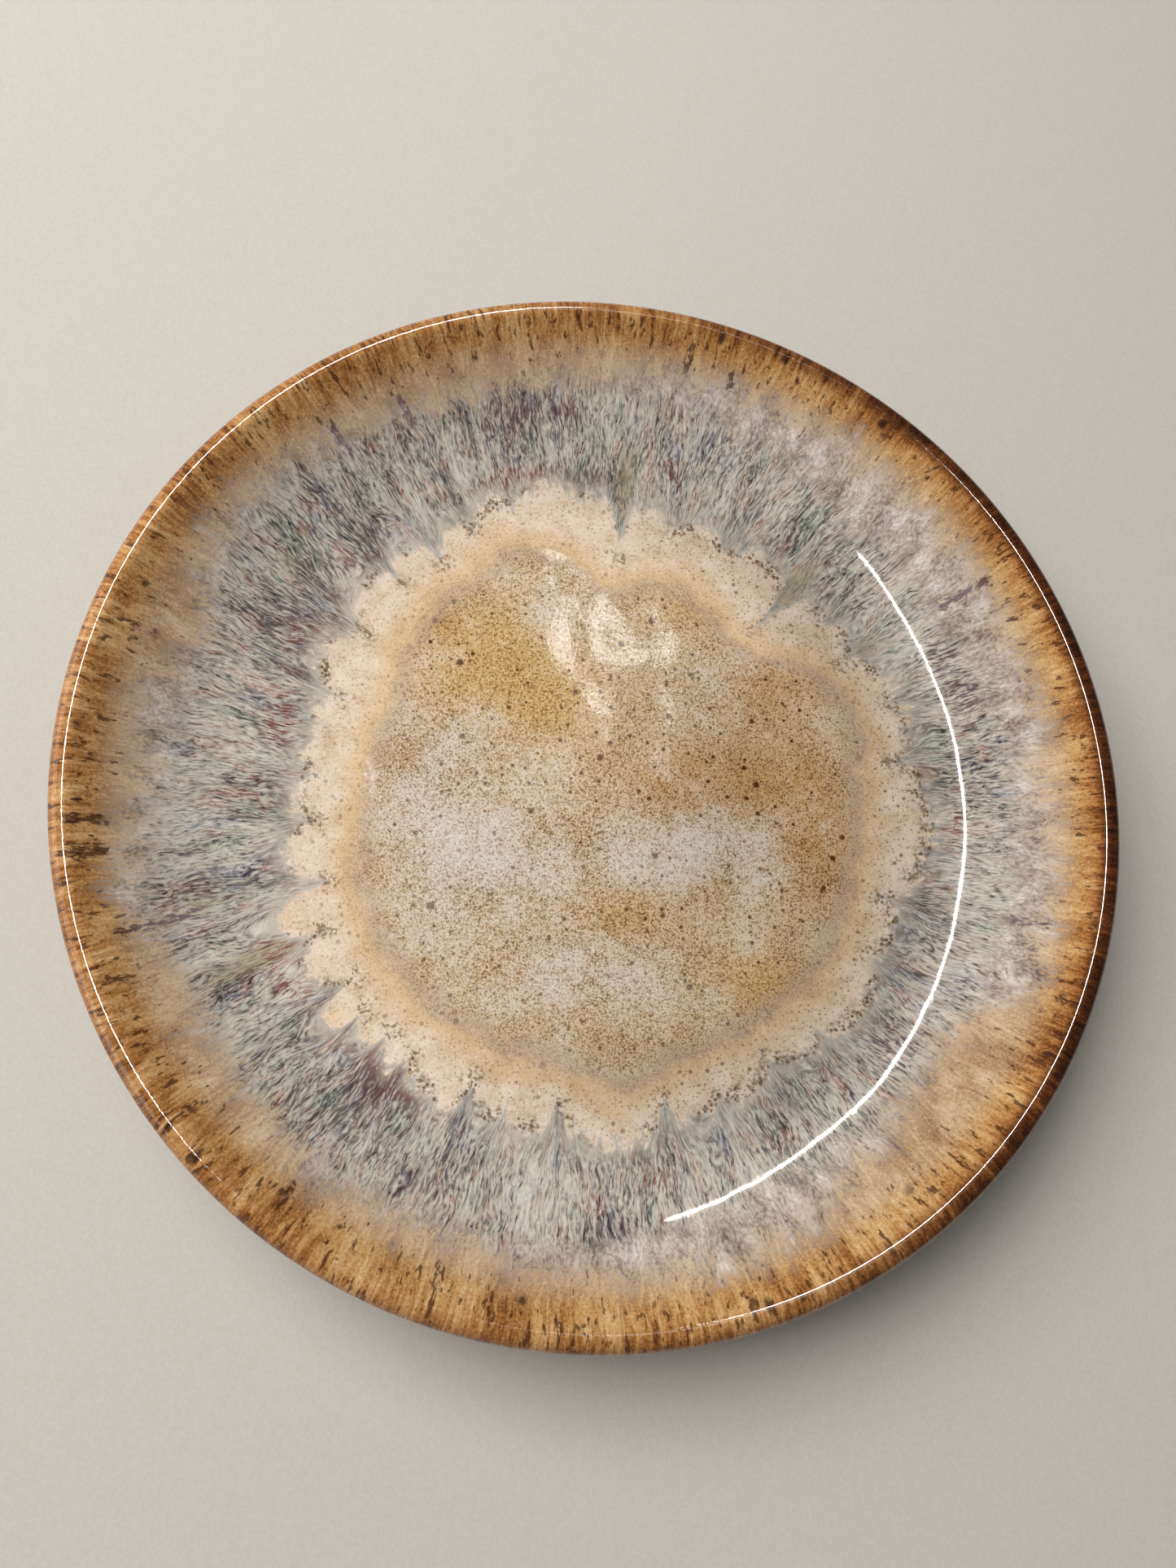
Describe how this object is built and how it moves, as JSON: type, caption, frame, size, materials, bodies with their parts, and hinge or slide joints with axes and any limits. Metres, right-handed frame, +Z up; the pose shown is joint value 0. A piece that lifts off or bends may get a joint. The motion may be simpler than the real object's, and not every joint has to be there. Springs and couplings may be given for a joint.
{
  "type": "dinner plate",
  "caption": "Round coupe dinner plate in glazed stoneware: flat well, flared wall, rounded lip and a bare foot ring to stand on.",
  "frame": {"origin": "centre of the plane that the foot ring rests on", "axes": "+Z up along the plate's axis of revolution, out of the face that holds the food; +X and +Y lie in the resting plane"},
  "size_m": [0.305, 0.305, 0.0396],
  "materials": {
    "bare_stoneware": "unglazed fired stoneware, matte, with a fine grog and iron specks",
    "speckled_tan_glaze": "glossy oat and amber glaze with dense brown iron specks",
    "cream_glaze": "glossy cream glaze, pooled, with a frilled edge",
    "streaked_glaze": "glossy runny glaze in fine radial strands of slate blue, teal, plum and cream, frosty further out and honey amber near the lip",
    "amber_back_glaze": "glossy amber-brown glaze with dark specks",
    "amber_recess_glaze": "glossy thin amber-brown glaze"
  },
  "bodies": {
    "root": {"stoneware_body": "bare_stoneware", "speckled_base_glaze": "speckled_tan_glaze", "cream_pool_glaze": "cream_glaze", "streaked_wall_glaze": "streaked_glaze", "back_glaze": "amber_back_glaze", "foot_recess_glaze": "amber_recess_glaze"}
  },
  "joints": []
}
